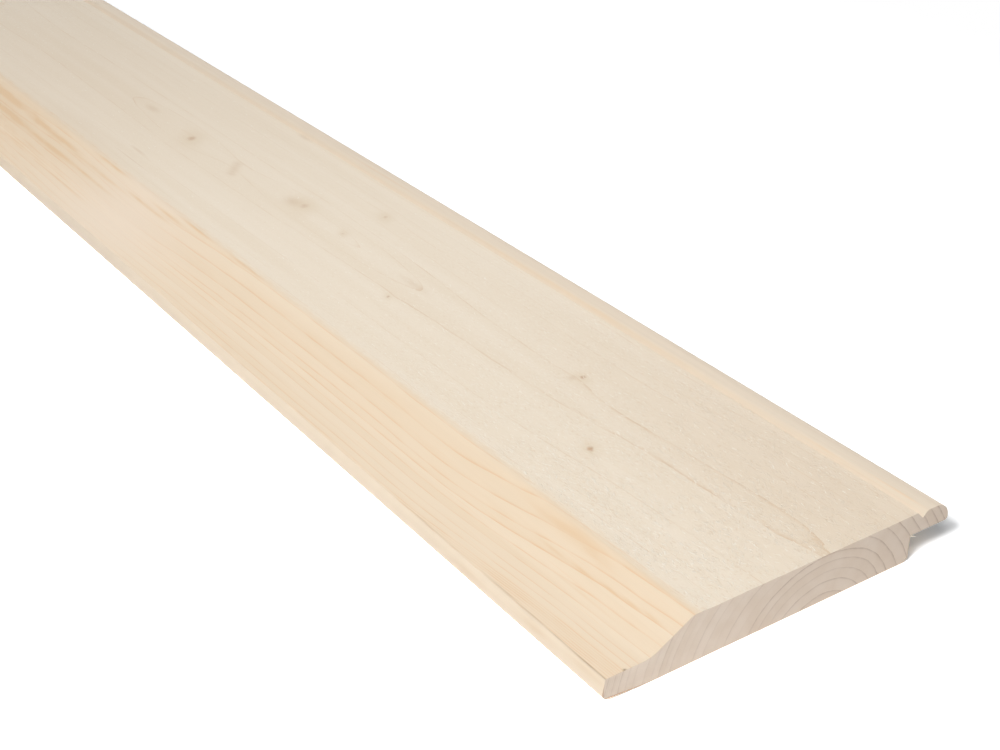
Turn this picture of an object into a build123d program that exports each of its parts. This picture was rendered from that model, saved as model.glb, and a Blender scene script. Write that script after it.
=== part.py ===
"""Shiplap cladding board: one length of softwood with a milled section, lying on its back.

The board runs along Y, and its front is up. Along the left edge a thin lip goes under the
neighbouring board. Along the right edge the front stands out over a rebate and laps the
next board's lip. A bevel leads from the lip up to the face, and a V groove sets off the lap.
The origin is the middle of the back. All sizes are in millimetres.
"""

import os
from math import radians, tan

from build123d import *

# Blank
board_length = 1800.0
board_width = 145.0
board_thickness = 18.0

# Lip, along the left edge
lip_thickness = 9.0
lip_width = 18.0  # from the board's edge to the foot of the bevel
lip_lead_in = 0.9  # how far the front part of the lip's edge leans back
lip_lead_height = 5.0  # height of that leaning part
lip_front_radius = 0.4
lip_back_radius = 2.0

# Relief, where the back rises towards the lip's edge
relief_rise = 1.5
relief_run = 17.0
relief_radius = 80.0

# Bevel, from the lip up to the face
bevel_run = 16.0
bevel_foot_radius = 10.0
bevel_top_radius = 4.0

# Lap, along the right edge, over the rebate that takes the neighbour's lip
lap_clearance = 1.0  # room above the neighbour's lip
lip_reveal = 0.5  # flat of the neighbour's lip that stays in sight beside the nose
nose_front_radius = 6.0
nose_back_radius = 1.2
rebate_corner_radius = 0.5
back_chamfer = 1.5

# V groove, in the face beside the lap
groove_from_edge = 12.5
groove_depth = 2.8
groove_angle = 90.0
groove_bead_radius = 2.0
bead_drop = 0.6  # how far the bead beyond the groove lies below the face

# Narrowest flat that stays between two roundings of one wall
least_flat = 0.1

# Places that follow from the sizes
left_edge = -board_width / 2
right_edge = board_width / 2
rebate_depth = lip_thickness + lap_clearance
rebate_wall = right_edge - (lip_width - lip_reveal)
groove_middle = right_edge - groove_from_edge
groove_slope = tan(radians(groove_angle / 2))
groove_half_width = groove_depth * groove_slope
bead_top = board_thickness - bead_drop
bead_half_width = (groove_depth - bead_drop) * groove_slope

# Walls that limit the roundings at their ends
lip_edge_wall = lip_thickness - lip_lead_height - relief_rise
lap_wall = bead_top - rebate_depth
bead_turn = radians(90 - groove_angle / 2)
bead_flat = groove_from_edge - bead_half_width - groove_bead_radius * tan(bead_turn / 2)
lip_back_round = min(lip_back_radius, lip_edge_wall - least_flat)
nose_front_round = min(
    nose_front_radius,
    lap_wall - nose_back_radius - least_flat,
    bead_flat - least_flat,
)

# Corners of the section, from the lip's back, round by the rebate and the face
lip_back = (left_edge, relief_rise)
relief_start = (left_edge + relief_run, 0)
back_end = (rebate_wall, 0)
rebate_corner = (rebate_wall, rebate_depth)
nose_back = (right_edge, rebate_depth)
nose_front = (right_edge, bead_top)
groove_bead = (groove_middle + bead_half_width, bead_top)
groove_root = (groove_middle, board_thickness - groove_depth)
groove_start = (groove_middle - groove_half_width, board_thickness)
bevel_top = (left_edge + lip_width + bevel_run, board_thickness)
bevel_foot = (left_edge + lip_width, lip_thickness)
lip_front = (left_edge + lip_lead_in, lip_thickness)
lip_lead_start = (left_edge, lip_thickness - lip_lead_height)

# Radius that the moulder's cutters leave at each rounded corner
rounded_corners = [
    (lip_back, lip_back_round),
    (relief_start, relief_radius),
    (rebate_corner, rebate_corner_radius),
    (nose_back, nose_back_radius),
    (nose_front, nose_front_round),
    (groove_bead, groove_bead_radius),
    (bevel_top, bevel_top_radius),
    (bevel_foot, bevel_foot_radius),
    (lip_front, lip_front_radius),
]


def vertex_at(sketch, point):
    """The vertex of a sketch that lies at a point."""
    return sketch.vertices().sort_by_distance(point)[0]


with BuildPart() as cladding_board:
    with BuildSketch(Plane.XZ) as section:
        with BuildLine():
            Polyline(
                lip_back,
                relief_start,
                back_end,
                rebate_corner,
                nose_back,
                nose_front,
                groove_bead,
                groove_root,
                groove_start,
                bevel_top,
                bevel_foot,
                lip_front,
                lip_lead_start,
                close=True,
            )
        make_face()
        for point, radius in rounded_corners:
            fillet(vertex_at(section, point), radius)
        chamfer(vertex_at(section, back_end), back_chamfer)
    extrude(amount=board_length / 2, both=True)

cladding_board.part.label = "cladding_board"

os.makedirs("parts", exist_ok=True)
export_step(cladding_board.part, "parts/cladding_board.step")
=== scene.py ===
"""Looks of a shiplap cladding board: pale spruce, fine-sawn on its face and planed elsewhere.

The section repeats the part's sizes in metres. The wood is one solid figure of growth rings
round a pith below the board's back, so the ends, the face and the edges agree. Places in the
wood are in millimetres, from the board's left edge, its near end and its back.
"""

import math
import random

import bmesh
import bpy
from bpy.props import FloatProperty, FloatVectorProperty, IntProperty, PointerProperty
from bpy.types import Operator, Panel, PropertyGroup
from mathutils import Euler, Matrix, Vector, noise


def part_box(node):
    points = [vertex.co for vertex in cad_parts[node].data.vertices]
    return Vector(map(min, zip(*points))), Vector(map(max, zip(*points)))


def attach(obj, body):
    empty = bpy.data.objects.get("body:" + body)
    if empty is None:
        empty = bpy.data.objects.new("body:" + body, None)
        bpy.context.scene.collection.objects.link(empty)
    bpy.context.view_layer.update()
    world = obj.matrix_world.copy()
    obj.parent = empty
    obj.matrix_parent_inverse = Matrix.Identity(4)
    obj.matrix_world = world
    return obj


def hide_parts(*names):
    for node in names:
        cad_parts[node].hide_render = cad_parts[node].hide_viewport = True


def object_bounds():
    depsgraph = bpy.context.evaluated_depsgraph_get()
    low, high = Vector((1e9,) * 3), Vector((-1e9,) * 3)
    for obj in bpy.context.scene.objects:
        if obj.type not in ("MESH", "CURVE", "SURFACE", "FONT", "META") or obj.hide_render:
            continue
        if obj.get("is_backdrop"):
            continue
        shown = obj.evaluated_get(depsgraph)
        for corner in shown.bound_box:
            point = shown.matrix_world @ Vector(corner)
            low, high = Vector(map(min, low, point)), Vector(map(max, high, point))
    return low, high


bl_info = {
    "name": "Cladding board",
    "version": (1, 0, 0),
    "blender": (4, 5, 0),
    "location": "3D View > Sidebar > Cladding",
    "description": "Models a shiplap cladding board in pale spruce, and the studio that shows it",
    "category": "Object",
}

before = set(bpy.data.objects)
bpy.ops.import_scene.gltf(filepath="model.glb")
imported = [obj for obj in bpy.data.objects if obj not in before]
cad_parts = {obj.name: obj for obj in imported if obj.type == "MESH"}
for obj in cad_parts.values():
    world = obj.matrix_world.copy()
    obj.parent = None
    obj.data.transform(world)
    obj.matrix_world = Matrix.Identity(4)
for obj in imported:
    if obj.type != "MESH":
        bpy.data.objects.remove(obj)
CAD_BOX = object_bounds()
BOARD_NODE = "cladding_board"
BODY = "root"
BOARD_LOW, BOARD_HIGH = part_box(BOARD_NODE)
BOARD_LENGTH = BOARD_HIGH.y - BOARD_LOW.y
MM = 0.001

# Growth rings: where the pith runs, and how the rings are drawn out on either side of it
PITH_ACROSS = 89.0
PITH_UP = -11.0
LAP_SIDE_GROWTH = 0.003
LIP_SIDE_STRETCH = 1.21

# The trunk's taper, a dip of the rings at the near end, and uneven growth away from that end
TAPER = 0.003
END_DROP = 0.42
END_RUN = 22.0
SLOW_GROWTH = 3.0
SLOW_GROWTH_RUN = 140.0
QUICK_GROWTH = 0.6

# Along the board the pith drifts towards the lip, and by the lap the rings stand steeper
PITH_DRIFT = 5.5
DRIFT_START, DRIFT_END = 20.0, 130.0
LAP_START, LAP_END = 95.0, 115.0
LAP_STEEPNESS = 0.1

# Dark lines: the strength of even ones, the greatest strength, the length of the soft skirt
# before them, and a width that no year reaches
EVEN_STRENGTH = 0.9
GREATEST_STRENGTH = 2.0
SKIRT_LENGTH = 0.9
WIDEST_YEAR = 10.0

# Growth rings from the pith outwards: radius at the near end, and strength of the dark line
RINGS = (
    (-10.0, 0.3),
    (-4.0, 0.4),
    (2.0, 0.4),
    (8.0, 0.5),
    (14.0, 0.8),
    (18.5, 0.8),
    (22.3, 0.4),
    (25.8, 0.6),
    (28.85, 1.0),
    (32.6, 0.15),
    (36.6, 0.9),
    (40.0, 0.12),
    (43.4, 0.45),
    (46.5, 0.9),
    (49.2, 0.12),
    (51.3, 0.3),
    (53.8, 0.55),
    (55.8, 0.35),
    (57.4, 0.9),
    (59.7, 0.5),
    (62.4, 0.4),
    (65.7, 0.5),
    (68.0, 0.5),
    (70.2, 1.0),
    *((70.2 + 0.7 * year, 0.35 if year % 3 else 0.75) for year in range(1, 15)),
)

# Swellings of the rings round the whorls: across, along, half width, half length, rise
SWELLINGS = (
    (84.5, 300.0, 9.0, 70.0, 5.4),
    (30.0, 385.0, 60.0, 60.0, 1.2),
    (83.0, 470.0, 9.0, 45.0, 3.3),
    (95.0, 820.0, 12.0, 80.0, 4.5),
    (60.0, 1180.0, 16.0, 90.0, 3.5),
    (85.0, 1480.0, 12.0, 100.0, 4.0),
)

# Places where the dark lines of the rings stand out: across, along, half width, half length, gain
EMPHASIS = (
    (84.5, 250.0, 16.0, 40.0, 1.1),
    (84.0, 394.0, 10.0, 20.0, 0.7),
    (84.0, 495.0, 9.0, 22.0, 2.5),
    (90.0, 1120.0, 14.0, 60.0, 1.2),
)

# Pin knots in the face, which lean across the grain: across, along, radius, darkness
KNOT_LEAN = -0.3
KNOTS = (
    (66.0, 93.0, 1.5, 0.9),
    (94.8, 135.2, 1.4, 0.8),
    (70.0, 235.0, 0.9, 0.7),
    (86.0, 300.0, 1.2, 0.45),
    (111.0, 305.0, 1.7, 0.5),
    (87.0, 337.0, 3.0, 0.5),
    (81.5, 445.0, 3.2, 0.65),
    (52.0, 690.0, 1.2, 0.8),
    (101.0, 832.0, 2.2, 0.55),
    (76.0, 905.0, 0.9, 0.9),
    (120.0, 1040.0, 1.1, 0.8),
    (60.0, 1184.0, 2.3, 0.55),
    (94.0, 1330.0, 1.0, 0.9),
    (44.0, 1490.0, 1.4, 0.7),
    (84.0, 1642.0, 2.0, 0.6),
    (112.0, 1722.0, 0.9, 0.9),
)

# Soft spots of another colour, each as across, along, half width, half length, strength
RESIN = (
    (31.0, 55.0, 2.4, 20.0, 0.85),
    (30.2, 46.5, 1.2, 7.0, 1.0),
    (34.5, 14.0, 0.7, 14.0, 0.3),
    (26.7, 10.0, 0.45, 4.0, 0.9),
    (25.9, 19.0, 0.45, 4.5, 0.9),
    (25.3, 29.0, 0.45, 4.5, 1.0),
    (24.6, 42.0, 0.45, 5.0, 0.9),
    (24.2, 58.0, 0.4, 7.0, 0.6),
    (19.5, 36.0, 0.4, 18.0, 0.5),
    (34.8, 293.0, 0.6, 13.0, 1.2),
    (34.6, 340.0, 0.65, 13.0, 1.2),
    (32.0, 362.0, 0.65, 14.0, 1.1),
    (29.4, 383.0, 0.65, 18.0, 1.1),
    (136.4, 345.0, 0.6, 22.0, 0.6),
    (34.2, 434.0, 0.7, 14.0, 1.5),
    (28.0, 445.0, 0.7, 32.0, 0.9),
    (29.0, 505.0, 1.2, 36.0, 1.8),
    (29.9, 570.0, 1.6, 50.0, 2.0),
    (30.2, 670.0, 1.4, 70.0, 1.2),
    (23.6, 440.0, 0.6, 20.0, 1.2),
    (23.5, 490.0, 1.0, 35.0, 1.5),
    (23.6, 560.0, 1.4, 55.0, 1.7),
    (24.0, 670.0, 1.3, 70.0, 1.1),
    (13.0, 450.0, 0.5, 25.0, 0.9),
    (14.2, 505.0, 0.8, 30.0, 1.1),
    (10.0, 560.0, 20.0, 75.0, 0.5),
    (0.5, 9.0, 0.25, 9.0, 0.6),
    (0.4, 34.0, 0.25, 9.0, 0.45),
    (0.2, 72.0, 0.3, 12.0, 0.3),
    (135.0, 14.0, 0.4, 16.0, 0.6),
    (134.2, 44.0, 0.4, 14.0, 0.4),
    (134.0, 190.0, 0.6, 60.0, 0.45),
    (28.0, 1120.0, 1.2, 140.0, 0.7),
    (12.0, 1400.0, 1.0, 160.0, 0.6),
)
FADED = (
    (18.0, 392.0, 28.0, 55.0, 0.9),
    (12.0, 960.0, 22.0, 80.0, 0.7),
    (24.0, 1560.0, 22.0, 90.0, 0.7),
)
# Dark marks along the lip's top arris and at its near corner. These are torn wood, and partly painted shade
# of a small chip and of fine nicks that the mesh does not have
TORN_AND_SHADE = (
    (1.1, 8.0, 0.22, 13.0, 0.85),
    (1.15, 24.0, 0.2, 7.0, 0.6),
    (1.2, 37.0, 0.3, 8.0, 0.6),
    (1.25, 55.0, 0.35, 9.0, 0.5),
    (1.2, 92.0, 0.25, 18.0, 0.3),
    (8.3, 0.3, 0.6, 0.5, 0.9),
    (1.2, 700.0, 0.25, 40.0, 0.5),
    (1.2, 1320.0, 0.25, 60.0, 0.5),
)
STAINS = (
    # The first row darkens the lap side of the face by the near end, as painted shade for light that falls
    # off towards the lap. The second darkens the far end the same way
    (118.0, 15.0, 38.0, 130.0, 0.35),
    (118.0, 1790.0, 38.0, 130.0, 0.25),
    (91.5, 137.2, 2.4, 2.0, 0.55),
    (84.8, 238.0, 2.2, 10.0, 0.35),
    (85.0, 344.0, 3.6, 6.0, 0.6),
    *((85.0 - 1.6 * step, 401.0 - 1.9 * step, 1.9, 3.4, 0.45) for step in range(6)),
    (75.0, 590.0, 60.0, 130.0, 0.17),
    (44.0, 500.0, 9.0, 70.0, 0.2),
    (45.0, 438.0, 0.4, 20.0, 0.5),
    (52.5, 445.0, 0.9, 8.0, 0.5),
    (129.0, 413.0, 1.5, 6.0, 0.45),
    (83.5, 497.0, 2.6, 8.0, 0.5),
    (98.0, 842.0, 3.0, 7.0, 0.4),
    (57.0, 1194.0, 3.0, 8.0, 0.4),
)

# Splinters at the ends: root, tip, width and height
SPLINTERS = (
    ((127.1, 0.5, 9.9), (130.9, 0.15, 8.3), 0.8, 1.2),
    ((127.4, 0.5, 9.2), (129.6, 0.15, 9.0), 0.6, 0.7),
    ((134.9, 0.8, 16.4), (133.9, 0.2, 16.6), 0.5, 0.25),
    ((52.0, 1799.3, 0.3), (55.0, 1799.8, 0.05), 0.5, 0.25),
    ((127.0, 1799.3, 10.4), (130.0, 1799.7, 9.3), 0.7, 0.35),
    ((20.0, 1799.2, 9.9), (22.0, 1799.9, 11.6), 0.5, 0.25),
)

# Saw marks on the face: the slant and wander of the ridges, the size of torn spots, and how
# sharply the waves of torn fibres rise
RIDGE_SLANT = 0.35
RIDGE_WANDER, WANDER_SIZE = 2.0, 40.0
TORN_ACROSS, TORN_ALONG = 2.6, 7.0
FUZZ_SHARPNESS = 4

# Raised fibres: how deep they are rooted, their slope and stray, their distance to the groove,
# the seed of their draws, and how many are made at a time
FIBRE_SINK = 0.03
FIBRE_SLOPE = 0.6
FIBRE_STRAY = 0.25
FIBRE_MARGIN = 0.5
FIBRE_SEED = 7
FIBRE_BATCH = 400

# The floor, in metres: its half width, its gap to the board, and the distances from the board
# over which it turns bright beside the board and beyond its ends, and then plain white
FLOOR_SIZE = 30.0
FLOOR_GAP = 0.0001
BRIGHT_ASIDE = (0.01, 0.06)
BRIGHT_BEYOND = (0.0, 0.05)
WHITE_FLOOR = (0.1, 0.45)

# Softboxes: what each is for, its place in metres from the middle of the near end, its side
# in millimetres, its power in watts and its spread in degrees
SOFTBOXES = {
    "key": ("on the left", (-1.1, -0.6, 1.6), 800.0, 16.0, 180.0),
    "top": ("overhead that lights the board alone", (-0.05, 0.22, 1.2), 800.0, 8.0, 180.0),
    "fill": ("low in front", (-0.5, -1.2, 0.4), 400.0, 4.5, 180.0),
    "floor_lamp": ("that lights the floor alone", (-1.6, -0.5, 1.6), 500.0, 50.0, 180.0),
    "far": ("over the far half", (-0.05, 1.55, 1.0), 600.0, 0.75, 80.0),
    "back": ("behind the far end that lights the board alone", (0.5, 2.9, 0.5), 400.0, 0.5, 60.0),
}

# Half height of a spot that reaches through the board, and how squarely a face looks one way
ANY_HEIGHT = 1000.0
FACING = 0.9

# The angle past which the board's edges are sharp, and the camera's sensor in millimetres
SHARP_ANGLE = math.radians(28.0)
SENSOR_WIDTH = 36.0

# Kinds of socket, finishes in the order of the board's materials, and pieces
VECTOR = "NodeSocketVector"
FLOAT = "NodeSocketFloat"
PLANED, SAWN, END = range(3)
PIECES = ("spruce_board", "raised_fibres", "splinters")


def length(name, description, millimetres):
    """A length property whose default is given in millimetres."""
    return FloatProperty(
        name=name,
        description=description,
        default=millimetres * MM,
        min=0.0,
        unit="LENGTH",
        precision=4,
    )


def colour(name, description, default):
    """A colour property."""
    return FloatVectorProperty(
        name=name,
        description=description,
        default=default,
        size=3,
        min=0.0,
        max=1.0,
        subtype="COLOR",
    )


def position(name, description, default):
    """A property for a place in metres."""
    return FloatVectorProperty(
        name=name,
        description=description,
        default=default,
        size=3,
        subtype="TRANSLATION",
        unit="LENGTH",
    )


def angle(name, description, degrees):
    """An angle property whose default is given in degrees."""
    return FloatProperty(name=name, description=description, default=math.radians(degrees), subtype="ANGLE")


def count(name, description, default, least):
    """A property for a whole number."""
    return IntProperty(name=name, description=description, default=default, min=least)


def amount(name, description, default, unit="NONE"):
    """A property for a number that is never below zero."""
    return FloatProperty(name=name, description=description, default=default, min=0.0, unit=unit)


class CladdingSection(PropertyGroup):
    """Sizes of the milled section, apart from the board's length, width and thickness."""

    lip_thickness: length("Lip thickness", "Height of the lip's front above the back", 9.0)
    lip_width: length("Lip width", "From the left edge to the foot of the bevel", 18.0)
    lip_lead_in: length("Lip lead-in", "How far the front part of the lip's edge leans back", 0.9)
    lip_lead_height: length("Lead-in height", "Height of the leaning part", 5.0)
    lip_front_radius: length("Lip front radius", "Rounding of the lip's front arris", 0.4)
    lip_back_radius: length("Lip back radius", "Rounding of the lip's back arris", 2.0)
    relief_rise: length("Relief rise", "How far the back rises at the lip's edge", 1.5)
    relief_run: length("Relief run", "Width over which the back rises", 17.0)
    relief_radius: length("Relief radius", "Rounding where the back starts to rise", 80.0)
    bevel_run: length("Bevel run", "Width of the bevel from its foot to the face", 16.0)
    bevel_foot_radius: length("Bevel foot radius", "Cove at the foot of the bevel", 10.0)
    bevel_top_radius: length("Bevel top radius", "Rounding of the bevel into the face", 4.0)
    rebate_depth: length("Rebate depth", "Height of the rebate under the lap", 10.0)
    rebate_width: length("Rebate width", "From the rebate's wall to the right edge", 17.5)
    rebate_corner_radius: length("Rebate corner radius", "Rounding in the rebate's corner", 0.5)
    back_chamfer: length("Back chamfer", "Chamfer between the back and the rebate", 1.5)
    nose_front_radius: length("Nose front radius", "Rounding of the lap's front arris", 6.0)
    nose_back_radius: length("Nose back radius", "Rounding of the lap's back arris", 1.2)
    groove_from_edge: length("Groove from edge", "From the groove's middle to the right edge", 12.5)
    groove_depth: length("Groove depth", "Depth and half width of the V groove", 2.8)
    groove_bead_radius: length("Bead radius", "Rounding of the groove's outer arris", 2.0)
    bead_drop: length("Bead drop", "How far the bead beyond the groove lies below the face", 0.6)


class CladdingFinish(PropertyGroup):
    """Sizes of the sawn relief and of the raised fibres on the face."""

    face_strips: count("Face strips", "Strips across the sawn face", 64, 1)
    stations: count("Stations", "Cuts along the board, which carry the sawn relief", 600, 1)
    sawn_recess: length("Sawn recess", "Mean depth of the sawn face below the milled height", 0.16)
    ridge_depth: length("Ridge depth", "Height of the ridges that the saw leaves", 0.02)
    ridge_pitch: length("Ridge pitch", "Spacing of the saw's ridges along the board", 11.0)
    torn_depth: length("Torn depth", "Unevenness of the torn grain", 0.07)
    fade_in: length("Fade-in", "Width over which the planed bevel passes into the sawn face", 7.0)
    fuzz_wave: length("Fuzz wave", "Length of the waves in which the torn fibres come and go", 900.0)
    fibre_count: count("Raised fibres", "Number of fibres tried, which thin out in waves", 12000, 0)
    fibre_length: length("Fibre length", "Length of the longest raised fibres", 3.4)
    fibre_width: length("Fibre width", "Width of the widest raised fibres", 0.4)
    fibre_height: length("Fibre height", "Height of the highest raised fibres", 0.15)


class CladdingColours(PropertyGroup):
    """Colours of the spruce on its sawn, planed and cut surfaces."""

    sawn_pale: colour("Sawn, pale", "Palest wood of the sawn face", (0.845, 0.74, 0.605))
    sawn_warm: colour("Sawn, warm", "Warmest wood of the sawn face", (0.815, 0.70, 0.555))
    sawn_line: colour("Sawn, line", "Dark lines of the sawn face", (0.66, 0.465, 0.29))
    # Painted shade: the dark colour of the pits stands for the shade between torn fibres
    pit_in_shade: colour("Sawn, pit", "Wood in the pits between torn fibres", (0.72, 0.55, 0.38))
    fibre: colour("Raised fibre", "Fibres that the saw raised", (0.9, 0.83, 0.72))
    planed_pale: colour("Planed, pale", "Palest planed wood", (0.812, 0.67, 0.505))
    planed_warm: colour("Planed, warm", "Warmest planed wood", (0.788, 0.635, 0.463))
    planed_faded: colour("Planed, faded", "Faded planed wood of the lip", (0.83, 0.69, 0.545))
    planed_line: colour("Planed, line", "Dark lines of planed wood", (0.74, 0.48, 0.27))
    smear: colour("Resin", "Resin in the planed wood", (0.75, 0.54, 0.34))
    end_pale: colour("End, pale", "Earlywood of the cut ends", (0.728, 0.615, 0.512))
    end_warm: colour("End, warm", "Warmest wood of the cut ends", (0.68, 0.558, 0.45))
    end_line: colour("End, line", "Dark lines of the cut ends", (0.43, 0.31, 0.235))
    end_fringe: colour("End, fringe", "Torn fibres on the lower edge of the cut ends", (0.83, 0.64, 0.43))
    # Partly painted shade: the brown along the lower edge under the lip stands for the shadow in the gap
    # there
    end_arris_and_gap_shade: colour("End, arris", "Lip's corners on the cut ends", (0.5, 0.28, 0.15))
    groove: colour("Groove", "Planed wood in the groove", (0.73, 0.63, 0.51))
    lap_pale: colour("Lap, pale", "Palest planed wood of the nose", (0.79, 0.668, 0.53))
    # Painted light: a lighter colour on the lip's edge, which faces the lamps on the left
    edge_painted_light: colour("Edge, pale", "Planed wood of the lip's edge", (0.905, 0.75, 0.575))
    torn: colour("Torn", "Torn wood along the lip's arris", (0.3, 0.19, 0.11))
    stain: colour("Stain", "Stains in the sawn face", (0.66, 0.5, 0.35))
    knot_core: colour("Knot", "Middle of the pin knots", (0.54, 0.335, 0.205))
    knot_halo: colour("Knot halo", "Wood round the pin knots", (0.72, 0.58, 0.415))


class CladdingStage(PropertyGroup):
    """Camera, sky and floor of the studio. Its softboxes are added below the class."""

    camera_place: position(
        "Camera place",
        "Where the camera stands, from the near end's left bottom corner",
        (-0.2397, -0.2947, 0.3216),
    )
    camera_pitch: angle("Camera pitch", "How far the camera looks down", 29.108)
    camera_yaw: angle("Camera yaw", "Turn of the camera from the board's length towards the lap", 34.609)
    focal_length: amount("Focal length", "Focal length in millimetres on a sensor 36 mm wide", 59.8)
    sky_colour: colour("Sky", "Colour of the even light from all sides", (0.88, 0.94, 1.0))
    sky_strength: amount("Sky strength", "Strength of the even light from all sides", 0.2)
    floor_colour: colour("Floor", "Colour of the floor in the light it throws back", (0.75, 0.75, 0.75))
    floor_seen: amount("Floor, seen", "Brightness of the floor beside the lap, to the camera", 1.19)
    floor_seen_far: amount("Floor, seen far", "Brightness of the floor elsewhere, to the camera", 2.2)


def softbox_settings(lamp, where, place, side, power, spread):
    """The properties of a softbox, by their names on the stage."""
    title = lamp.replace("_", " ").capitalize()
    middle = f"Middle of the softbox {where}, from the middle of the near end"
    return {
        lamp + "_place": position(title + " place", middle, place),
        lamp + "_size": length(title + " size", f"Side of the softbox {where}", side),
        lamp + "_power": amount(title + " power", f"Power of the softbox {where}", power, unit="POWER"),
        lamp + "_spread": angle(title + " spread", f"Spread of the softbox {where}", spread),
    }


for lamp_name, lamp_values in SOFTBOXES.items():
    CladdingStage.__annotations__.update(softbox_settings(lamp_name, *lamp_values))


# Shader helpers


def feed(tree, socket, value):
    """Links an input to another node's output, or sets its constant."""
    if isinstance(value, bpy.types.NodeSocket):
        tree.links.new(value, socket)
    else:
        socket.default_value = value


def put(tree, kind, inputs, **options):
    """Adds a shader node with its options set and its inputs fed by name or number."""
    node = tree.nodes.new("ShaderNode" + kind)
    for name, value in options.items():
        setattr(node, name, value)
    for name, value in inputs.items():
        feed(tree, node.inputs[name], value)
    return node


def calc(tree, operation, *values):
    """The result of a Math node."""
    node = put(tree, "Math", dict(enumerate(values)), operation=operation)
    return node.outputs["Value"]


def times(tree, first, second, *more):
    """The product of two values, with a third added to it where one is given."""
    return calc(tree, "MULTIPLY_ADD" if more else "MULTIPLY", first, second, *more)


def calc_vector(tree, operation, *values):
    """The vector result of a Vector Math node."""
    node = put(tree, "VectorMath", dict(enumerate(values)), operation=operation)
    return node.outputs["Vector"]


def ease(tree, value, start, end):
    """0 before start and 1 after end, with a smooth rise between them."""
    inputs = {"Value": value, "From Min": start, "From Max": end}
    node = put(tree, "MapRange", inputs, interpolation_type="SMOOTHSTEP")
    return node.outputs["Result"]


def mix_colours(tree, share, first, second, blend_type="MIX"):
    """The first colour with a share of the second laid over it."""
    node = put(tree, "Mix", {}, data_type="RGBA", blend_type=blend_type)
    feed(tree, node.inputs[0], share)
    feed(tree, node.inputs[6], first)
    feed(tree, node.inputs[7], second)
    return node.outputs[2]


def opaque(tint):
    """A colour with its alpha."""
    return (*tint, 1.0)


def laid(tree, base, tint, *shares):
    """A colour with another laid over it, as far as the product of the shares says."""
    share, *others = shares
    for other in others:
        share = times(tree, share, other)
    return mix_colours(tree, share, base, opaque(tint))


def shaded(tree, base, value, low, high):
    """A colour made darker and lighter by a value between 0 and 1."""
    inputs = {"Value": value, "To Min": low, "To Max": high}
    shade = put(tree, "MapRange", inputs, clamp=False).outputs["Result"]
    grey = put(tree, "CombineXYZ", {"X": shade, "Y": shade, "Z": shade}).outputs["Vector"]
    return mix_colours(tree, 1.0, base, grey, blend_type="MULTIPLY")


def parts_of(tree, place):
    """A place's X, Y and Z."""
    return put(tree, "SeparateXYZ", {"Vector": place}).outputs


def grain_noise(tree, place, size, detail=2.0, roughness=0.5):
    """Noise between 0 and 1 whose spots have a size in millimetres across, along and up."""
    scaled = calc_vector(tree, "DIVIDE", place, size)
    inputs = {"Vector": scaled, "Scale": 1.0, "Detail": detail, "Roughness": roughness}
    return put(tree, "TexNoise", inputs).outputs["Fac"]


def strayed(tree, place, scale, across, along):
    """A place that noise shifts by up to a distance across and along."""
    sway = put(tree, "TexNoise", {"Vector": place, "Scale": scale, "Detail": 2.0})
    reach = (2.0 * across, 2.0 * along, 0.0)
    shift = calc_vector(tree, "MULTIPLY_ADD", sway.outputs["Color"], reach, (-across, -along, 0.0))
    return calc_vector(tree, "ADD", place, shift)


def spot(tree, place, centre, half_size):
    """A soft spot that is 1 at its centre, with its half size across and along."""
    offset = calc_vector(tree, "SUBTRACT", place, (*centre, 0.0))
    scaled = calc_vector(tree, "DIVIDE", offset, (*half_size, ANY_HEIGHT))
    square = put(tree, "VectorMath", {0: scaled, 1: scaled}, operation="DOT_PRODUCT")
    return calc(tree, "EXPONENT", times(tree, square.outputs["Value"], -1.0))


def spots(tree, place, rows):
    """Soft spots and their strengths, from rows of across, along, half width, half length, strength."""
    for across, along, half_width, half_length, strength in rows:
        yield spot(tree, place, (across, along), (half_width, half_length)), strength


def curve_through(tree, value, points):
    """A value carried along straight lines through points, which all lie between 0 and 1."""
    node = put(tree, "FloatCurve", {"Value": value})
    curve = node.mapping.curves[0]
    curve.points[0].location = points[0]
    curve.points[-1].location = points[-1]
    for across, up in points[1:-1]:
        curve.points.new(across, up)
    for point in curve.points:
        point.handle_type = "VECTOR"
    node.mapping.update()
    return node.outputs["Value"]


def new_group(name, inputs, outputs):
    """A shader node group with named sockets, and those sockets as seen from inside it."""
    group = bpy.data.node_groups.new(name, "ShaderNodeTree")
    for socket, kind in inputs.items():
        group.interface.new_socket(name=socket, in_out="INPUT", socket_type=kind)
    for socket in outputs:
        group.interface.new_socket(name=socket, in_out="OUTPUT", socket_type=FLOAT)
    inside = group.nodes.new("NodeGroupInput").outputs
    outside = group.nodes.new("NodeGroupOutput").inputs
    return group, inside, outside


def place_group(tree, name, place, **constants):
    """Puts a node group of the wood into a tree at a place, with its other inputs set."""
    node = tree.nodes.new("ShaderNodeGroup")
    node.node_tree = bpy.data.node_groups[name]
    tree.links.new(place, node.inputs["Place"])
    for socket, value in constants.items():
        node.inputs[socket].default_value = value
    return node.outputs


def feed_all(tree, sockets, **values):
    """Feeds sockets by their names."""
    for name, value in values.items():
        feed(tree, sockets[name], value)


# Node groups of the wood


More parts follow.
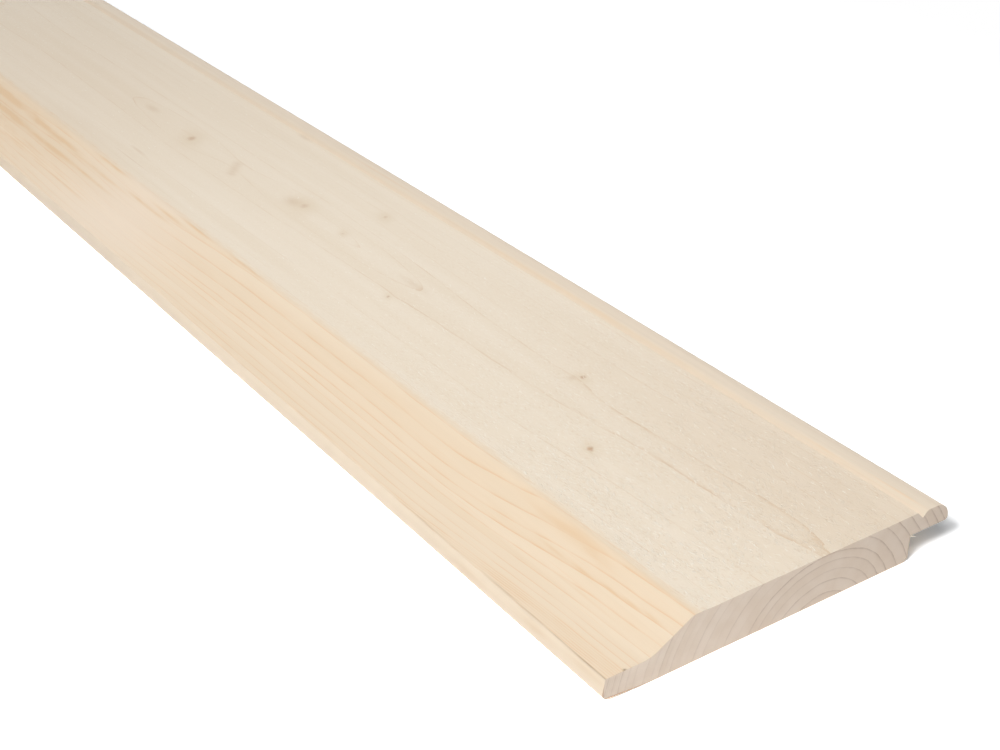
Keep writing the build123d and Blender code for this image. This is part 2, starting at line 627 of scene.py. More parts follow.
def pin_knots_group():
    """Node group: the middles of the pin knots, the wood round them, and their push on the rings."""
    tree, inside, outside = new_group("pin_knots", {"Place": VECTOR}, ("Core", "Halo", "Swell"))
    place = inside["Place"]
    lean = times(tree, parts_of(tree, place)["Y"], KNOT_LEAN)
    lean = put(tree, "CombineXYZ", {"X": lean}).outputs["Vector"]
    ragged = calc_vector(tree, "ADD", strayed(tree, place, 0.7, 0.7, 0.9), lean)
    core = 0.0
    halo = 0.0
    swell = 0.0
    for across, along, radius, darkness in KNOTS:
        centre = (across + KNOT_LEAN * along, along)
        middle = spot(tree, ragged, centre, (radius, radius * 1.15))
        ring = spot(tree, ragged, centre, (radius * 2.2, radius * 3.2))
        push = spot(tree, place, (across, along), (radius * 3.0, radius * 8.0))
        core = calc(tree, "MAXIMUM", core, times(tree, middle, darkness))
        halo = calc(tree, "MAXIMUM", halo, ring)
        swell = times(tree, push, radius * 0.5, swell)
    feed_all(tree, outside, Core=core, Halo=halo, Swell=swell)


def pith_distance(tree, parts, lap):
    """The distance from the pith, with the rings drawn out to either side and steeper by the lap."""
    drift = times(tree, ease(tree, parts["Y"], DRIFT_START, DRIFT_END), PITH_DRIFT)
    aside = calc(tree, "SUBTRACT", calc(tree, "ADD", parts["X"], drift), PITH_ACROSS)
    to_lap = calc(tree, "MAXIMUM", aside, 0.0)
    to_lap = calc(tree, "DIVIDE", to_lap, times(tree, to_lap, LAP_SIDE_GROWTH, 1.0))
    to_lip = calc(tree, "DIVIDE", calc(tree, "MINIMUM", aside, 0.0), LIP_SIDE_STRETCH)
    side = calc(tree, "ADD", to_lap, to_lip)
    steep = times(tree, lap, -LAP_STEEPNESS, 1.0)
    rise = times(tree, parts["Z"], steep, -PITH_UP)
    square = times(tree, side, side, times(tree, rise, rise))
    return calc(tree, "SQRT", square)


def growth_radius(tree, place, parts, lap):
    """The radius at which a ring grew, with taper, swellings round knots and uneven growth."""
    radius = times(tree, parts["Y"], -TAPER, pith_distance(tree, parts, lap))
    radius = times(tree, ease(tree, parts["Y"], 0.0, END_RUN), -END_DROP, radius)
    for swelling, height in spots(tree, place, SWELLINGS):
        radius = times(tree, swelling, -height, radius)
    radius = calc(tree, "SUBTRACT", radius, place_group(tree, "pin_knots", place)["Swell"])
    slow = calc(tree, "SUBTRACT", grain_noise(tree, place, (34.0, 210.0, 34.0), detail=1.0), 0.5)
    quick = calc(tree, "SUBTRACT", grain_noise(tree, place, (5.0, 36.0, 5.0)), 0.5)
    grown = times(tree, ease(tree, parts["Y"], 0.0, SLOW_GROWTH_RUN), SLOW_GROWTH)
    uneven = times(tree, slow, grown)
    return calc(tree, "ADD", radius, times(tree, quick, QUICK_GROWTH, uneven))


def growth_rings_group():
    """Node group: the dark lines of the rings with a given width, and a tone for each year's wood."""
    inputs = {"Place": VECTOR, "Width": FLOAT, "Skirt": FLOAT, "Even": FLOAT, "Lap Even": FLOAT}
    tree, inside, outside = new_group("growth_rings", inputs, ("Line", "Tone"))
    place = inside["Place"]
    parts = parts_of(tree, place)
    lap = ease(tree, parts["X"], LAP_START, LAP_END)
    radius = growth_radius(tree, place, parts, lap)

    # Years, counted with a curve through the ring radii
    radii = [ring for ring, strength in RINGS]
    first, last = radii[0], radii[-1]
    years = len(RINGS) - 1
    share = put(tree, "MapRange", {"Value": radius, "From Min": first, "From Max": last})
    counted = [((ring - first) / (last - first), year / years) for year, ring in enumerate(radii)]
    age = times(tree, curve_through(tree, share.outputs["Result"], counted), float(years))
    number = calc(tree, "FLOOR", age)

    # Each year's own width and strength
    middle = calc(tree, "DIVIDE", calc(tree, "ADD", number, 0.5), float(years))
    middles = [(year + 0.5) / years for year in range(years)]
    widths = [(outer - inner) / WIDEST_YEAR for inner, outer in zip(radii, radii[1:])]
    strengths = [strength for ring, strength in RINGS[1:]]
    width = curve_through(tree, middle, list(zip(middles, widths)))
    strength = curve_through(tree, middle, list(zip(middles, strengths)))

    # A line is dense where its year ends, and stops at once
    to_come = calc(tree, "SUBTRACT", 1.0, calc(tree, "FRACT", age))
    before_end = times(tree, times(tree, to_come, width), WIDEST_YEAR)
    core = calc(tree, "DIVIDE", before_end, inside["Width"])
    core = calc(tree, "EXPONENT", times(tree, times(tree, core, core), -1.0))
    skirt = calc(tree, "EXPONENT", calc(tree, "DIVIDE", before_end, -SKIRT_LENGTH))
    line = times(tree, calc(tree, "SUBTRACT", skirt, core), inside["Skirt"], core)

    # Lines are more even where that is asked, and stand out in some places
    even = calc(tree, "MAXIMUM", inside["Even"], times(tree, lap, inside["Lap Even"]))
    lack = calc(tree, "SUBTRACT", EVEN_STRENGTH, strength)
    strength = times(tree, lack, even, strength)
    gain = 1.0
    for stress, more in spots(tree, place, EMPHASIS):
        gain = times(tree, stress, more, gain)
    strength = calc(tree, "MINIMUM", times(tree, strength, gain), GREATEST_STRENGTH)
    tone = put(tree, "TexWhiteNoise", {"W": number}, noise_dimensions="1D").outputs["Value"]
    feed_all(tree, outside, Line=times(tree, line, strength), Tone=tone)


def fibre_streaks_group():
    """Node group: fine and broad streaks of the wood's fibres, and gaps that break up its lines."""
    tree, inside, outside = new_group("fibre_streaks", {"Place": VECTOR}, ("Fine", "Broad", "Gaps"))
    place = inside["Place"]
    fine = grain_noise(tree, place, (0.5, 60.0, 0.5), detail=3.0)
    broad = grain_noise(tree, place, (7.0, 200.0, 7.0), detail=3.0)
    gaps = ease(tree, grain_noise(tree, place, (3.0, 22.0, 3.0)), 0.38, 0.62)
    feed_all(tree, outside, Fine=fine, Broad=broad, Gaps=gaps)


def saw_fuzz_group(wave):
    """Node group: height of the torn fibres, which come in waves, with the places of pale tufts, which are
    partly painted highlight, and of pits, which are painted dark as shade.
    """
    tree, inside, outside = new_group("saw_fuzz", {"Place": VECTOR}, ("Height", "Tuft", "Pit", "Vigour"))
    place = inside["Place"]
    curled = strayed(tree, place, 0.3, 1.5, 1.5)
    fine = grain_noise(tree, curled, (0.5, 2.0, 0.5))
    coarse = grain_noise(tree, curled, (2.2, 6.5, 2.2), detail=1.0)
    turn = calc(tree, "COSINE", times(tree, parts_of(tree, place)["Y"], math.pi * MM / wave))
    swing = calc(tree, "POWER", calc(tree, "ABSOLUTE", turn), float(FUZZ_SHARPNESS))
    vigour = times(tree, swing, 0.8, 0.2)
    patches = ease(tree, grain_noise(tree, place, (8.0, 14.0, 8.0)), 0.22, 0.54)
    patches = times(tree, patches, vigour)
    tuft = times(tree, ease(tree, fine, 0.56, 0.7), patches)
    pit_in_shade = times(tree, ease(tree, fine, 0.42, 0.3), patches)
    ground = times(tree, fine, 0.25, times(tree, coarse, 0.35, -0.3))
    rough = times(tree, ground, vigour, 0.5)
    torn = times(tree, times(tree, pit_in_shade, -0.5, tuft), 0.35)
    height = calc(tree, "ADD", rough, torn)
    feed_all(tree, outside, Height=height, Tuft=tuft, Pit=pit_in_shade, Vigour=vigour)


def build_wood_groups(wave):
    """Builds the node groups of the wood once. The rings use the knots."""
    if "growth_rings" not in bpy.data.node_groups:
        pin_knots_group()
        growth_rings_group()
        fibre_streaks_group()
        saw_fuzz_group(wave)


# Finishes


def empty_tree(owner):
    """The node tree of a material or a world, emptied."""
    owner.use_nodes = True
    owner.node_tree.nodes.clear()
    return owner.node_tree


def new_material(name):
    """A material, its empty tree, and the place in the wood.

    The place is in millimetres from the left edge, the near end and the back.
    """
    material = bpy.data.materials.new(name)
    tree = empty_tree(material)
    object_place = put(tree, "TexCoord", {}).outputs["Object"]
    start = Vector((-BOARD_LOW.x, -BOARD_LOW.y, -BOARD_LOW.z)) / MM
    inputs = {"Vector": object_place, "Location": start, "Scale": (1.0 / MM,) * 3}
    place = put(tree, "Mapping", inputs, vector_type="POINT").outputs["Vector"]
    return material, tree, place


def close_material(tree, base, height, depth, roughness, specular=0.25):
    """Ends a material with a Principled shader whose normal follows a height."""
    bump = put(tree, "Bump", {"Strength": 1.0, "Distance": depth, "Height": height})
    inputs = {
        "Base Color": base,
        "Roughness": roughness,
        "Specular IOR Level": specular,
        "Normal": bump.outputs["Normal"],
    }
    shader = put(tree, "BsdfPrincipled", inputs)
    put(tree, "OutputMaterial", {"Surface": shader.outputs["BSDF"]})


def figured(tree, place, colours, tone, width, skirt, share, gaps, even, lap_even):
    """The wood's colour with its years, streaks and dark lines, and the streaks themselves.

    The colours are those of pale wood, warm wood and lines, and the tone is how much the years
    differ. The lines have a width, a share of soft skirt, a share of their colour, a share that
    their gaps take away, and how even they are all over and by the lap.
    """
    pale, warm, line = colours
    shape = {"Width": width, "Skirt": skirt, "Even": even, "Lap Even": lap_even}
    rings = place_group(tree, "growth_rings", place, **shape)
    streaks = place_group(tree, "fibre_streaks", place)
    shift = calc(tree, "SUBTRACT", streaks["Broad"], tone / 2)
    warmth = times(tree, rings["Tone"], tone, shift)
    base = laid(tree, opaque(pale), warm, ease(tree, warmth, 0.2, 0.8))
    broken = times(tree, streaks["Gaps"], gaps, 1.0 - gaps)
    return laid(tree, base, line, rings["Line"], broken, share), streaks


def stained(tree, place, base, stains, tint, broken=1.0):
    """A colour with soft spots of another laid over it, broken up by a value."""
    share = 0.0
    for stain, strength in spots(tree, place, stains):
        share = calc(tree, "MAXIMUM", share, times(tree, stain, strength))
    return laid(tree, base, tint, share, broken)


def knotted(tree, place, base, colours, share):
    """A colour with the pin knots laid over it."""
    knots = place_group(tree, "pin_knots", place)
    base = laid(tree, base, colours.knot_halo, knots["Halo"], 0.45 * share)
    return laid(tree, base, colours.knot_core, ease(tree, knots["Core"], 0.18, 0.9), 0.78 * share)


def planed_colour(tree, place, colours):
    """The colour of planed spruce, with its resin, and its streaks."""
    wood = (colours.planed_pale, colours.planed_warm, colours.planed_line)
    lines = {"width": 0.2, "skirt": 0.25, "share": 1.0, "gaps": 0.6, "even": 0.7, "lap_even": 0.5}
    base, streaks = figured(tree, place, wood, tone=0.25, **lines)
    base = laid(tree, base, colours.planed_line, ease(tree, streaks["Fine"], 0.58, 0.75), 0.25)

    # The groove is darker and the nose is bleached. The near part of the lip's edge is lighter: painted
    # light, for the lamps on the left that this edge faces
    parts = parts_of(tree, place)
    base = laid(tree, base, colours.groove, ease(tree, parts["X"], 130.0, 131.5), 0.75)
    patches = ease(tree, grain_noise(tree, place, (2.0, 70.0, 4.0)), 0.36, 0.58)
    bleached = times(tree, patches, 0.6, 0.15)
    base = laid(tree, base, colours.lap_pale, bleached, ease(tree, parts["X"], 135.5, 138.0))
    painted_light_near = ease(tree, parts["Y"], 680.0, 430.0)
    base = laid(tree, base, colours.edge_painted_light, ease(tree, parts["X"], 1.0, 0.8), painted_light_near)

    broken = times(tree, streaks["Gaps"], 0.5, 0.5)
    base = stained(tree, place, base, FADED, colours.planed_faded)
    base = stained(tree, place, base, RESIN, colours.smear, broken)
    base = stained(tree, place, base, TORN_AND_SHADE, colours.torn, broken)
    return shaded(tree, base, streaks["Fine"], 0.97, 1.03), streaks


def planed_material(colours):
    """Planed spruce: smooth and warm, with fine streaks and thin lines."""
    material, tree, place = new_material("planed_spruce")
    base, streaks = planed_colour(tree, place, colours)
    base = knotted(tree, place, base, colours, 0.6)
    roughness = times(tree, streaks["Fine"], 0.15, 0.5)
    close_material(tree, base, streaks["Fine"], 0.04 * MM, roughness, specular=0.3)
    return material


def sawn_material(colours):
    """Fine-sawn spruce: pale and dull, with faint lines under torn fibres."""
    material, tree, place = new_material("sawn_spruce")
    fuzz = place_group(tree, "saw_fuzz", place)
    wood = (colours.sawn_pale, colours.sawn_warm, colours.sawn_line)
    share = times(tree, fuzz["Vigour"], 0.45, 0.25)
    lines = {"width": 0.14, "skirt": 0.1, "share": share, "gaps": 0.7, "even": 0.0, "lap_even": 0.6}
    base = figured(tree, place, wood, tone=0.1, **lines)[0]
    # Painted light and shade of the torn fibres: the colour is darker where they lie low and lighter where
    # they stand high. The tufts are paler fibres with painted highlight, and the pits are painted shade
    base = shaded(tree, base, fuzz["Height"], 0.975, 1.025)
    base = laid(tree, base, colours.fibre, fuzz["Tuft"], 0.7)
    base = laid(tree, base, colours.pit_in_shade, fuzz["Pit"], 0.45)
    broken = times(tree, fuzz["Height"], 0.6, 0.6)
    base = stained(tree, place, base, STAINS, colours.stain, broken)
    base = knotted(tree, place, base, colours, 1.0)

    # The planer's cut fades out over the first millimetres of the face
    ragged = grain_noise(tree, place, (1.5, 9.0, 1.5), detail=3.0)
    across = times(tree, ragged, 6.0, parts_of(tree, place)["X"])
    sawn = ease(tree, across, 37.0, 42.0)
    planed = planed_colour(tree, place, colours)[0]
    base = mix_colours(tree, sawn, planed, base)
    height = times(tree, fuzz["Height"], sawn)
    close_material(tree, base, height, 0.26 * MM, roughness=0.85)
    return material


def end_material(colours, section):
    """Sawn end grain: taupe, darker towards the lap, with dark lines, fine pores, a warm lower edge and
    brown corners on the lip. Some of the darkening and some of the brown is painted shade.
    """
    material, tree, place = new_material("end_grain_spruce")
    parts = parts_of(tree, place)
    wood = (colours.end_pale, colours.end_warm, colours.end_line)
    share = times(tree, ease(tree, parts["X"], 45.0, 80.0), 0.4, 0.5)
    lines = {"width": 0.38, "skirt": 0.25, "share": share, "gaps": 0.4, "even": 0.0, "lap_even": 1.0}
    base = figured(tree, place, wood, tone=0.25, **lines)[0]
    pores = grain_noise(tree, place, (0.35, 0.35, 0.35), detail=3.0, roughness=0.7)
    base = shaded(tree, base, pores, 0.95, 1.05)
    # Darker towards the lap: partly the wood's own tone, and partly painted shade for light that falls off
    # towards the lap
    width = (BOARD_HIGH.x - BOARD_LOW.x) / MM
    base = shaded(tree, base, calc(tree, "DIVIDE", parts["X"], width), 1.05, 0.92)

    # A warm band along the lower edge, and brown on the lip's corners. Along the lower edge under the lip,
    # the brown is also painted shade of the gap where the back rises off the floor
    slope = section.relief_rise / section.relief_run
    below = times(tree, parts["X"], -slope, section.relief_rise / MM)
    above_back = calc(tree, "SUBTRACT", parts["Z"], calc(tree, "MAXIMUM", below, 0.0))
    base = laid(tree, base, colours.end_fringe, ease(tree, above_back, 0.55, 0.15), 0.4)
    low = ease(tree, above_back, 0.65, 0.3)
    corner = calc(tree, "MAXIMUM", low, ease(tree, parts["X"], 0.7, 0.3))
    base = laid(tree, base, colours.end_arris_and_gap_shade, corner, ease(tree, parts["X"], 22.0, 8.0), 0.65)
    close_material(tree, base, pores, 0.06 * MM, roughness=0.8)
    return material


def fibre_material(colours):
    """Raised fibres and splinters: the sawn face's palest wood, a little lighter."""
    material, tree, place = new_material("raised_fibre_spruce")
    tint = grain_noise(tree, place, (4.0, 8.0, 4.0))
    base = shaded(tree, opaque(colours.fibre), tint, 0.92, 1.08)
    close_material(tree, base, tint, 0.02 * MM, roughness=0.8)
    return material


# Board


def corner_reach(before, corner, after, radius):
    """How far from a corner a rounding of that radius starts."""
    inside = (before - corner).angle(after - corner)
    return radius / math.tan(inside / 2)


def section_corners(section):
    """The section's corners from the lip's back round by the rebate: across, up, radius, segments."""
    left, right = BOARD_LOW.x, BOARD_HIGH.x
    back, top = BOARD_LOW.z, BOARD_HIGH.z
    rebate_wall = right - section.rebate_width
    groove_middle = right - section.groove_from_edge
    bevel_foot = left + section.lip_width
    lip_top = back + section.lip_thickness
    ceiling = back + section.rebate_depth
    bead_top = top - section.bead_drop
    bead_start = groove_middle + section.groove_depth - section.bead_drop
    return (
        (left, back + section.relief_rise, section.lip_back_radius, 5),
        (left + section.relief_run, back, section.relief_radius, 4),
        (rebate_wall, back, section.back_chamfer, 1),
        (rebate_wall, ceiling, section.rebate_corner_radius, 3),
        (right, ceiling, section.nose_back_radius, 4),
        (right, bead_top, section.nose_front_radius, 10),
        (bead_start, bead_top, section.groove_bead_radius, 4),
        (groove_middle, top - section.groove_depth, 0.0, 0),
        (groove_middle - section.groove_depth, top, 0.0, 0),
        (bevel_foot + section.bevel_run, top, section.bevel_top_radius, 5),
        (bevel_foot, lip_top, section.bevel_foot_radius, 6),
        (left + section.lip_lead_in, lip_top, section.lip_front_radius, 3),
        (left, lip_top - section.lip_lead_height, 0.0, 0),
    )


def draw_section(bm, section):
    """Draws the section's outline at the near end and rounds its corners."""
    corners = section_corners(section)
    points = [Vector((across, BOARD_LOW.y, up)) for across, up, *_ in corners]
    verts = [bm.verts.new(point) for point in points]
    bm.faces.new(verts)
    for number, (*_, radius, segments) in enumerate(corners):
        if segments:
            before = points[number - 1]
            after = points[(number + 1) % len(points)]
            bmesh.ops.bevel(
                bm,
                geom=[verts[number]],
                offset=corner_reach(before, points[number], after, radius),
                offset_type="OFFSET",
                segments=segments,
                profile=0.5,
                affect="VERTICES",
                material=-1,
            )


def on_top(vert):
    """Whether a vertex lies at the board's milled height."""
    return abs(vert.co.z - BOARD_HIGH.z) < 0.001 * MM


def face_edge(bm):
    """The section's edge along the flat face, which is its longest edge on top."""
    edges = [edge for edge in bm.edges if all(on_top(vert) for vert in edge.verts)]
    return max(edges, key=lambda edge: edge.calc_length())


def extrude_board(bm, stations):
    """Draws the section out to the board's length and cuts it across."""
    face = bm.faces[:][0]
    drawn = bmesh.ops.extrude_face_region(bm, geom=[face], use_keep_orig=True)["geom"]
    far = [element for element in drawn if isinstance(element, bmesh.types.BMVert)]
    bmesh.ops.translate(bm, verts=far, vec=(0.0, BOARD_LENGTH, 0.0))
    long_edges = [edge for edge in bm.edges if edge.calc_length() > BOARD_LENGTH / 2]
    bmesh.ops.subdivide_edges(bm, edges=long_edges, cuts=stations - 1, use_grid_fill=True)
    bmesh.ops.recalc_face_normals(bm, faces=bm.faces[:])


def paint_faces(bm, sawn_start, sawn_end):
    """Gives each face of the board its finish."""
    for face in bm.faces:
        middle = face.calc_center_median().x
        upward = face.normal.z > FACING and all(on_top(vert) for vert in face.verts)
        if abs(face.normal.y) > FACING:
            face.material_index = END
        elif upward and sawn_start < middle < sawn_end:
            face.material_index = SAWN
        else:
            face.material_index = PLANED
        face.smooth = True


def sawn_depth(place, finish, sawn_start):
    """How far the sawn face lies below the milled height at a place."""
    into = min(max((place.x - sawn_start) / finish.fade_in, 0.0), 1.0)
    fade = into * into * (3.0 - 2.0 * into)
    wander = RIDGE_WANDER * MM * noise.noise(place / (WANDER_SIZE * MM))
    slant = place.y + RIDGE_SLANT * place.x + wander
    ridge = math.sin(2.0 * math.pi * slant / finish.ridge_pitch)
    torn = noise.noise(Vector((place.x / (TORN_ACROSS * MM), place.y / (TORN_ALONG * MM), 0.0)))
    return fade * (finish.sawn_recess + finish.ridge_depth / 2.0 * ridge + finish.torn_depth * torn)


def saw_face(bm, sawn_start, sawn_end, finish):
    """Cuts the saw's relief into the flat face."""
    inset = 0.01 * MM
    for vert in bm.verts:
        if on_top(vert) and sawn_start + inset < vert.co.x < sawn_end - inset:
            vert.co.z -= sawn_depth(vert.co, finish, sawn_start)


def add_object(name, bm, materials):
    """Adds an object made from a mesh, with its materials."""
    mesh = bpy.data.meshes.new(name)
    bm.to_mesh(mesh)
    bm.free()
    for material in materials:
        mesh.materials.append(material)
    made = bpy.data.objects.new(name, mesh)
    bpy.context.scene.collection.objects.link(made)
    return made


def add_piece(name, bm, materials):
    """Adds a piece of the board, with its finishes."""
    piece = add_object(name, bm, materials)
    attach(piece, BODY)
    return piece


class CLADDING_OT_board(Operator):
    """Model the board from its section, with a sawn face and cut ends"""

    bl_idname = "cladding.board"
    bl_label = "Board"

    def execute(self, context):
        section = context.scene.cladding_section
        finish = context.scene.cladding_finish
        colours = context.scene.cladding_colours
        bm = bmesh.new()
        draw_section(bm, section)
        edge = face_edge(bm)
        sawn_start, sawn_end = sorted(vert.co.x for vert in edge.verts)
        bmesh.ops.subdivide_edges(bm, edges=[edge], cuts=finish.face_strips - 1)
        extrude_board(bm, finish.stations)
        paint_faces(bm, sawn_start, sawn_end)
        saw_face(bm, sawn_start, sawn_end, finish)
        build_wood_groups(finish.fuzz_wave)
        materials = [planed_material(colours), sawn_material(colours), end_material(colours, section)]
        board = add_piece("spruce_board", bm, materials)
        board.data.set_sharp_from_angle(angle=SHARP_ANGLE)
        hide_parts(BOARD_NODE)
        return {"FINISHED"}


# Raised fibres and splinters


def fuzz_vigour(along, wave):
    """How thick the raised fibres stand at a place along the board, between 0 and 1."""
    return 0.1 + 0.9 * abs(math.cos(math.pi * (along - BOARD_LOW.y) / wave)) ** FUZZ_SHARPNESS


def add_sliver(bm, root, heading, size):
    """Adds a thin pointed sliver that starts at its root and runs along its heading's Y."""
    width, run, thickness = size
    stand = Euler((-math.pi / 2, 0.0, 0.0)).to_matrix().to_4x4()
    lift = Matrix.Translation((0.0, 0.5, 0.0))
    scale = Matrix.Diagonal((width, run, thickness, 1.0))
    matrix = Matrix.Translation(root) @ heading.to_matrix().to_4x4() @ scale @ lift @ stand
    bmesh.ops.create_cone(
        bm, cap_ends=True, cap_tris=False, segments=3, radius1=0.5, radius2=0.0, depth=1.0, matrix=matrix
    )


def try_fibre(bm, draw, finish, start, end, sawn_start):
    """Draws a raised fibre by chance, and adds it where the torn fibres stand thick enough."""
    run = finish.fibre_length * draw.uniform(0.3, 1.0)
    width = finish.fibre_width * draw.uniform(0.4, 1.0)
    height = finish.fibre_height * draw.uniform(0.4, 1.0)
    across = draw.uniform(start, end)
    along = draw.uniform(BOARD_LOW.y + run, BOARD_HIGH.y - run)
    turn = draw.gauss(0.0, FIBRE_STRAY) + draw.choice((0.0, math.pi))
    if draw.random() > fuzz_vigour(along, finish.fuzz_wave):
        return
    root = Vector((across, along, 0.0))
    root.z = BOARD_HIGH.z - sawn_depth(root, finish, sawn_start) - FIBRE_SINK * MM
    tilt = math.atan2(height * FIBRE_SLOPE, run)
    add_sliver(bm, root, Euler((tilt, 0.0, turn)), (width, run, height))


class CLADDING_OT_raised_fibres(Operator):
    """Scatter the fibres that the saw raised over the face"""

    bl_idname = "cladding.raised_fibres"
    bl_label = "Raised fibres"

    def execute(self, context):
        finish = context.scene.cladding_finish
        section = context.scene.cladding_section
        draw = random.Random(FIBRE_SEED)
        sawn_start = BOARD_LOW.x + section.lip_width + section.bevel_run
        start = sawn_start + finish.fade_in
        end = BOARD_HIGH.x - section.groove_from_edge - section.groove_depth - FIBRE_MARGIN * MM

        # Fibres are made in batches, because a cone takes longer to add to a large mesh
        fibres = bmesh.new()
        batch = bpy.data.meshes.new("fibre_batch")
        for first in range(0, finish.fibre_count, FIBRE_BATCH):
            bm = bmesh.new()
            for number in range(first, min(first + FIBRE_BATCH, finish.fibre_count)):
                try_fibre(bm, draw, finish, start, end, sawn_start)
            bm.to_mesh(batch)
            bm.free()
            fibres.from_mesh(batch)
        bpy.data.meshes.remove(batch)
        add_piece("raised_fibres", fibres, [fibre_material(context.scene.cladding_colours)])
        return {"FINISHED"}


def in_board(millimetres):
    """A point given in millimetres from the board's left edge, near end and back."""
    return Vector(BOARD_LOW) + Vector(millimetres) * MM


class CLADDING_OT_splinters(Operator):
    """Add the splinters that the saw left at the ends"""

    bl_idname = "cladding.splinters"
    bl_label = "Splinters"

    def execute(self, context):
        bm = bmesh.new()
        for root, tip, width, height in SPLINTERS:
            run = in_board(tip) - in_board(root)
            heading = run.to_track_quat("Y", "Z").to_euler()
            add_sliver(bm, in_board(root), heading, (width * MM, run.length, height * MM))
        add_piece("splinters", bm, [fibre_material(context.scene.cladding_colours)])
        return {"FINISHED"}


# Stage


def seen(tree):
    """1 for rays by which the camera sees a surface, also in gloss or through glass, and 0 for its light."""
    ray = put(tree, "LightPath", {}).outputs
    sight = calc(tree, "MAXIMUM", ray["Is Camera Ray"], ray["Is Glossy Ray"])
    return calc(tree, "MAXIMUM", sight, ray["Is Transmission Ray"])


def studio_world(stage):
    """A world that lights evenly and is white where the camera sees it."""
    world = bpy.data.worlds.new("studio")
    tree = empty_tree(world)
    sight = seen(tree)
    strength = times(tree, sight, 1.0 - stage.sky_strength, stage.sky_strength)
    tint = laid(tree, opaque(stage.sky_colour), (1.0, 1.0, 1.0), sight)
    even = put(tree, "Background", {"Color": tint, "Strength": strength})
    put(tree, "OutputWorld", {"Surface": even.outputs["Background"]})
    return world


def floor_material(stage):
    """A pale floor that the camera sees as white, with the board's shadow on it."""
    material = bpy.data.materials.new("studio_floor")
    tree = empty_tree(material)
    sight = seen(tree)
    parts = parts_of(tree, put(tree, "TexCoord", {}).outputs["Object"])
    aside = calc(tree, "SUBTRACT", calc(tree, "ABSOLUTE", parts["X"]), BOARD_HIGH.x)
    beyond = calc(tree, "SUBTRACT", calc(tree, "ABSOLUTE", parts["Y"]), BOARD_HIGH.y)

    # To the camera the floor is dull by the lap, where the shadow lies, and bright elsewhere
    left = ease(tree, parts["X"], 0.0, -BOARD_HIGH.x / 2.0)
    away = calc(tree, "MAXIMUM", left, ease(tree, aside, *BRIGHT_ASIDE))
    away = calc(tree, "MAXIMUM", away, ease(tree, beyond, *BRIGHT_BEYOND))
    near = opaque((stage.floor_seen,) * 3)
    bright = laid(tree, near, (stage.floor_seen_far,) * 3, away)
    paint = mix_colours(tree, sight, opaque(stage.floor_colour), bright)
    plain = put(tree, "BsdfDiffuse", {"Color": paint}).outputs["BSDF"]

    # Further off it is plain white
    white = put(tree, "Emission", {"Strength": 1.0}).outputs["Emission"]
    clear = ease(tree, calc(tree, "MAXIMUM", aside, beyond), *WHITE_FLOOR)
    clear = times(tree, clear, sight)
    mixed = put(tree, "MixShader", {0: clear, 1: plain, 2: white})
    put(tree, "OutputMaterial", {"Surface": mixed.outputs["Shader"]})
    return material


def add_floor(stage):
    """Adds the floor just under the board."""
    bm = bmesh.new()
    ground = Matrix.Translation((0.0, 0.0, BOARD_LOW.z - FLOOR_GAP))
    bmesh.ops.create_grid(bm, x_segments=1, y_segments=1, size=FLOOR_SIZE, matrix=ground)
    floor = add_object("floor", bm, [floor_material(stage)])
    floor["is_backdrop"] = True
    return floor


def add_softbox(name, stage):
    """Adds a softbox that looks at the nearest point of the board's middle line."""
    place = Vector(getattr(stage, name + "_place"))
    lamp = bpy.data.lights.new(name, "AREA")
    lamp.shape = "SQUARE"
    lamp.size = getattr(stage, name + "_size")
    lamp.energy = getattr(stage, name + "_power")
    lamp.spread = getattr(stage, name + "_spread")
    softbox = bpy.data.objects.new(name, lamp)
    softbox.location = Vector((0.0, BOARD_LOW.y, 0.0)) + place
    nearest = Vector((0.0, min(max(place.y, 0.0), BOARD_LENGTH), 0.0))
    softbox.rotation_euler = (nearest - place).to_track_quat("-Z", "Y").to_euler()
    bpy.context.scene.collection.objects.link(softbox)
    return softbox


def lit_by(lamp, pieces):
    """A collection of the pieces that a lamp lights."""
    lit = bpy.data.collections.new("lit_by_" + lamp)
    for piece in pieces:
        lit.objects.link(piece)
    return lit


def add_camera(scene, stage):
    """Adds the camera and makes it the scene's own."""
    lens = bpy.data.cameras.new("camera")
    lens.sensor_width = SENSOR_WIDTH
    lens.lens = stage.focal_length
    lens.clip_start = 0.01
    camera = bpy.data.objects.new("camera", lens)
    camera.location = Vector(BOARD_LOW) + Vector(stage.camera_place)
    camera.rotation_euler = (math.pi / 2 - stage.camera_pitch, 0.0, -stage.camera_yaw)
    scene.collection.objects.link(camera)
    scene.camera = camera


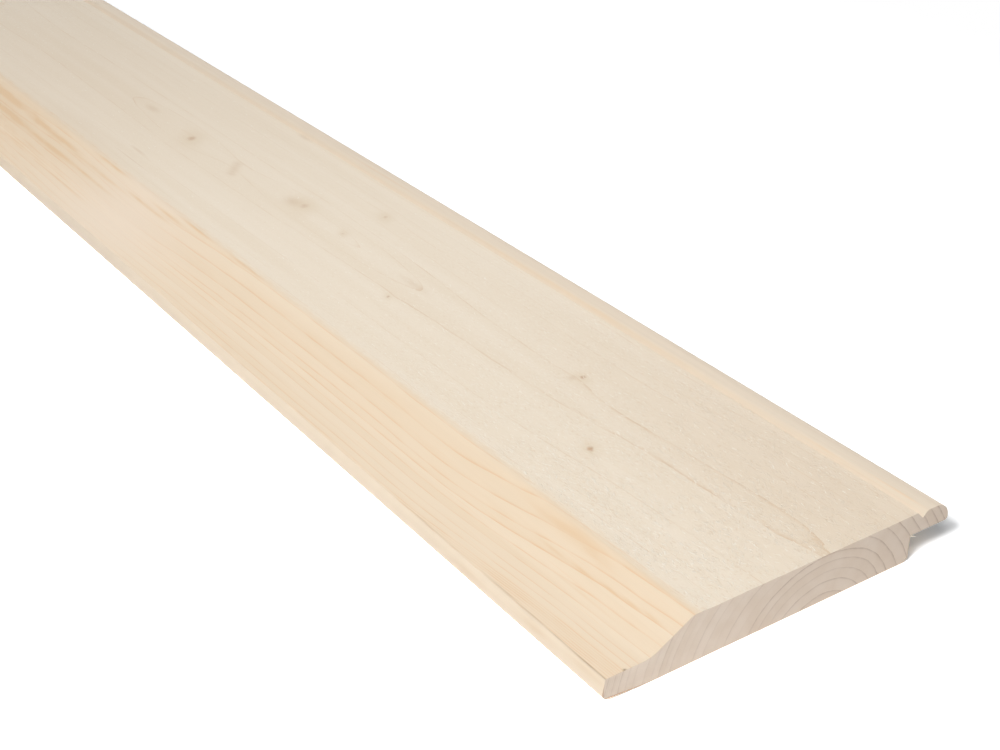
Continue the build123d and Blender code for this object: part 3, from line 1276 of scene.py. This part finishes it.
class CLADDING_OT_stage(Operator):
    """Set up the floor, the softboxes, the white world and the camera"""

    bl_idname = "cladding.stage"
    bl_label = "Stage"

    def execute(self, context):
        scene = context.scene
        stage = scene.cladding_stage
        scene.world = studio_world(stage)
        scene.view_settings.view_transform = "Standard"
        floor = add_floor(stage)
        board = [scene.objects[name] for name in PIECES]
        lit_alone = {"top": board, "floor_lamp": [floor], "back": board}
        for name in SOFTBOXES:
            softbox = add_softbox(name, stage)
            if name in lit_alone:
                softbox.light_linking.receiver_collection = lit_by(name, lit_alone[name])
        add_camera(scene, stage)
        return {"FINISHED"}


class CLADDING_PT_panel(Panel):
    """The board's sizes and colours, and the steps that make it"""

    bl_idname = "CLADDING_PT_panel"
    bl_label = "Cladding board"
    bl_space_type = "VIEW_3D"
    bl_region_type = "UI"
    bl_category = "Cladding"

    def draw(self, context):
        layout = self.layout
        for step in OPERATORS:
            layout.operator(step.bl_idname)
        for name in SETTINGS:
            box = layout.box()
            settings = getattr(context.scene, name)
            for key in settings.__annotations__:
                box.prop(settings, key)


SETTINGS = {
    "cladding_section": CladdingSection,
    "cladding_finish": CladdingFinish,
    "cladding_colours": CladdingColours,
    "cladding_stage": CladdingStage,
}
OPERATORS = (CLADDING_OT_board, CLADDING_OT_raised_fibres, CLADDING_OT_splinters, CLADDING_OT_stage)
CLASSES = (*SETTINGS.values(), *OPERATORS, CLADDING_PT_panel)


def register():
    """Registers the classes, and the settings on the scene."""
    for cls in CLASSES:
        bpy.utils.register_class(cls)
    for name, group in SETTINGS.items():
        setattr(bpy.types.Scene, name, PointerProperty(type=group))


def unregister():
    """Takes back what register did."""
    for name in SETTINGS:
        delattr(bpy.types.Scene, name)
    for cls in reversed(CLASSES):
        bpy.utils.unregister_class(cls)


def main():
    """Makes the board and its studio."""
    register()
    bpy.ops.cladding.board()
    bpy.ops.cladding.raised_fibres()
    bpy.ops.cladding.splinters()
    bpy.ops.cladding.stage()
    boxes = {"cad": CAD_BOX, "visual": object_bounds()}
    {name: [list(corner) for corner in box] for name, box in boxes.items()}


if __name__ == "__main__":
    main()
